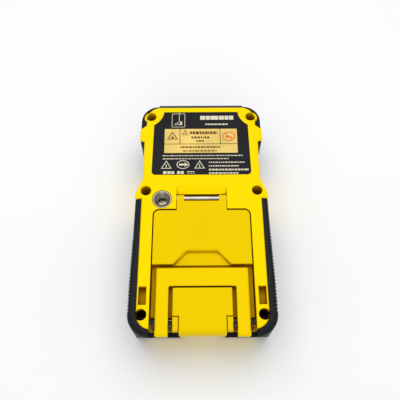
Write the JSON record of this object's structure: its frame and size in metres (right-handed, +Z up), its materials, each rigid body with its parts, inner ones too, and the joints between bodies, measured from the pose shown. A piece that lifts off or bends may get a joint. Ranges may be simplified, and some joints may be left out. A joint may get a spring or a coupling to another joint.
{
  "type": "laser distance meter",
  "caption": "Hand-held laser distance meter with rubber-armoured two-part shell, hinged battery cover, fold-out end piece, display, keypad and tripod thread.",
  "frame": {"origin": "middle of the rest plane under the display side, at mid length and mid width", "axes": "+Z up out of the back, +Y towards the laser end, +X to the right when the back is seen with the laser end away"},
  "size_m": [0.062, 0.113, 0.029],
  "materials": {
    "shell_yellow": "fine spark-eroded texture, satin sheen",
    "cover_yellow": "fine texture, slightly glossier than the housing",
    "rubber_black": "matt moulded rubber with ribs",
    "seal_rubber": "matt",
    "panel_black": "fine texture",
    "tray_black": "matt moulded plastic",
    "label_print": "printed film, semi-gloss",
    "nickel": "bright nickel plate",
    "steel_bright": "ground steel",
    "screw_steel": "black oxide steel",
    "contact_nickel": "nickel-plated spring steel",
    "cell_can": "printed sleeve",
    "circuit_green": "solder mask",
    "chip_black": "moulded epoxy",
    "laser_brass": "turned",
    "clear_glass": "clear",
    "display_grey": "liquid crystal display",
    "keypad_rubber": "silicone",
    "key_red": "moulded key",
    "key_grey": "moulded key with printed symbol"
  },
  "bodies": {
    "housing": {"back_label": "label_print", "battery_cell_1": "cell_can", "battery_cell_2": "cell_can", "battery_cell_3": "cell_can", "battery_tray": "tray_black", "board_chips": "chip_black", "board_screws": "screw_steel", "bumper_left": "rubber_black", "bumper_right": "rubber_black", "buzzer": "chip_black", "contact_plates_head": "contact_nickel", "contact_plates_tail": "contact_nickel", "contact_springs": "contact_nickel", "detector_board": "circuit_green", "display_module": "display_grey", "display_window": "clear_glass", "emitter_lens": "clear_glass", "end_cap": "panel_black", "front_panel": "panel_black", "front_shell": "shell_yellow", "grip_left": "rubber_black", "grip_right": "rubber_black", "hinge_pin": "steel_bright", "housing_screws": "screw_steel", "housing_seal": "seal_rubber", "keypad_mat": "keypad_rubber", "laser_module": "laser_brass", "main_board": "circuit_green", "optics_block": "tray_black", "rear_shell": "shell_yellow", "receiver_lens": "clear_glass", "tripod_insert": "nickel", "window_emitter": "clear_glass", "window_receiver": "clear_glass"},
    "cover": {"battery_cover": "cover_yellow", "cover_gasket": "seal_rubber", "hinge_block_left": "cover_yellow", "hinge_block_right": "cover_yellow", "pivot_pin_left": "steel_bright", "pivot_pin_right": "steel_bright", "friction_washer_left": "steel_bright", "friction_washer_right": "steel_bright", "pivot_clip_left": "steel_bright", "pivot_clip_right": "steel_bright"},
    "end_piece": {"end_piece": "cover_yellow"},
    "key_area": {"key_area": "key_grey"},
    "key_clear": {"key_clear": "key_grey"},
    "key_indirect": {"key_indirect": "key_grey"},
    "key_light": {"key_light": "key_grey"},
    "key_measure": {"key_measure": "key_red"},
    "key_memory": {"key_memory": "key_grey"},
    "key_minus": {"key_minus": "key_grey"},
    "key_plus": {"key_plus": "key_grey"},
    "key_power": {"key_power": "key_grey"},
    "key_timer": {"key_timer": "key_grey"},
    "key_units": {"key_units": "key_grey"},
    "key_volume": {"key_volume": "key_grey"}
  },
  "joints": [
    {"name": "cover_hinge", "type": "hinge", "parent": "housing", "child": "cover", "pos_m": [0, 0.00525, 0.027], "axis": [-1, 0, 0], "range_deg": [0, 110]},
    {"name": "end_piece_hinge", "type": "hinge", "parent": "cover", "child": "end_piece", "pos_m": [0, -0.0526, 0.02725], "axis": [1, 0, 0], "range_deg": [0, 180]},
    {"name": "key_area_press", "type": "slide", "parent": "housing", "child": "key_area", "axis": [0, 0, 1], "range_m": [0, 0.0008], "stiffness_N_per_m": 900, "springref_m": -0.0006},
    {"name": "key_clear_press", "type": "slide", "parent": "housing", "child": "key_clear", "axis": [0, 0, 1], "range_m": [0, 0.0008], "stiffness_N_per_m": 900, "springref_m": -0.0006},
    {"name": "key_indirect_press", "type": "slide", "parent": "housing", "child": "key_indirect", "axis": [0, 0, 1], "range_m": [0, 0.0008], "stiffness_N_per_m": 900, "springref_m": -0.0006},
    {"name": "key_light_press", "type": "slide", "parent": "housing", "child": "key_light", "axis": [0, 0, 1], "range_m": [0, 0.0008], "stiffness_N_per_m": 900, "springref_m": -0.0006},
    {"name": "key_measure_press", "type": "slide", "parent": "housing", "child": "key_measure", "axis": [0, 0, 1], "range_m": [0, 0.0008], "stiffness_N_per_m": 900, "springref_m": -0.0006},
    {"name": "key_memory_press", "type": "slide", "parent": "housing", "child": "key_memory", "axis": [0, 0, 1], "range_m": [0, 0.0008], "stiffness_N_per_m": 900, "springref_m": -0.0006},
    {"name": "key_minus_press", "type": "slide", "parent": "housing", "child": "key_minus", "axis": [0, 0, 1], "range_m": [0, 0.0008], "stiffness_N_per_m": 900, "springref_m": -0.0006},
    {"name": "key_plus_press", "type": "slide", "parent": "housing", "child": "key_plus", "axis": [0, 0, 1], "range_m": [0, 0.0008], "stiffness_N_per_m": 900, "springref_m": -0.0006},
    {"name": "key_power_press", "type": "slide", "parent": "housing", "child": "key_power", "axis": [0, 0, 1], "range_m": [0, 0.0008], "stiffness_N_per_m": 900, "springref_m": -0.0006},
    {"name": "key_timer_press", "type": "slide", "parent": "housing", "child": "key_timer", "axis": [0, 0, 1], "range_m": [0, 0.0008], "stiffness_N_per_m": 900, "springref_m": -0.0006},
    {"name": "key_units_press", "type": "slide", "parent": "housing", "child": "key_units", "axis": [0, 0, 1], "range_m": [0, 0.0008], "stiffness_N_per_m": 900, "springref_m": -0.0006},
    {"name": "key_volume_press", "type": "slide", "parent": "housing", "child": "key_volume", "axis": [0, 0, 1], "range_m": [0, 0.0008], "stiffness_N_per_m": 900, "springref_m": -0.0006}
  ]
}
